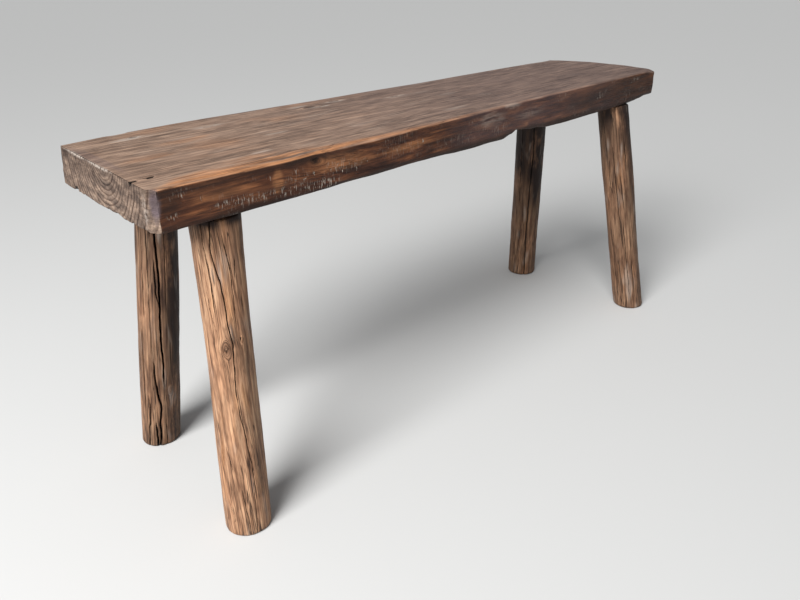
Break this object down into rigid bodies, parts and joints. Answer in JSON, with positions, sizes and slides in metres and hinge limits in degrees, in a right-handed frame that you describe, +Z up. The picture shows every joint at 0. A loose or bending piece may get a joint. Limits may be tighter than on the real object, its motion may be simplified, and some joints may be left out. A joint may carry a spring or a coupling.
{
  "type": "bench",
  "caption": "Rustic backless bench: a thick, wavy-edged plank seat on splayed round pole legs, held by wedged blind tenons.",
  "frame": {"origin": "on the floor, in the middle of the footprint of the whole bench", "axes": "+X along the seat towards its narrower rounded end, +Y towards the back long edge, +Z up"},
  "size_m": [1.0078, 0.3167, 0.46],
  "materials": {
    "plank_wood": "weathered, oiled dark brown plank with a satin sheen, worn orange-brown along the front top edge",
    "pole_wood": "debarked pole, oiled honey brown with dark grain and drying checks, satin",
    "wedge_wood": "plain split hardwood, bare"
  },
  "bodies": {
    "root": {"seat_plank": "plank_wood", "leg_left_front": "pole_wood", "wedge_left_front": "wedge_wood", "leg_left_back": "pole_wood", "wedge_left_back": "wedge_wood", "leg_right_back": "pole_wood", "wedge_right_back": "wedge_wood", "leg_right_front": "pole_wood", "wedge_right_front": "wedge_wood"}
  },
  "joints": []
}
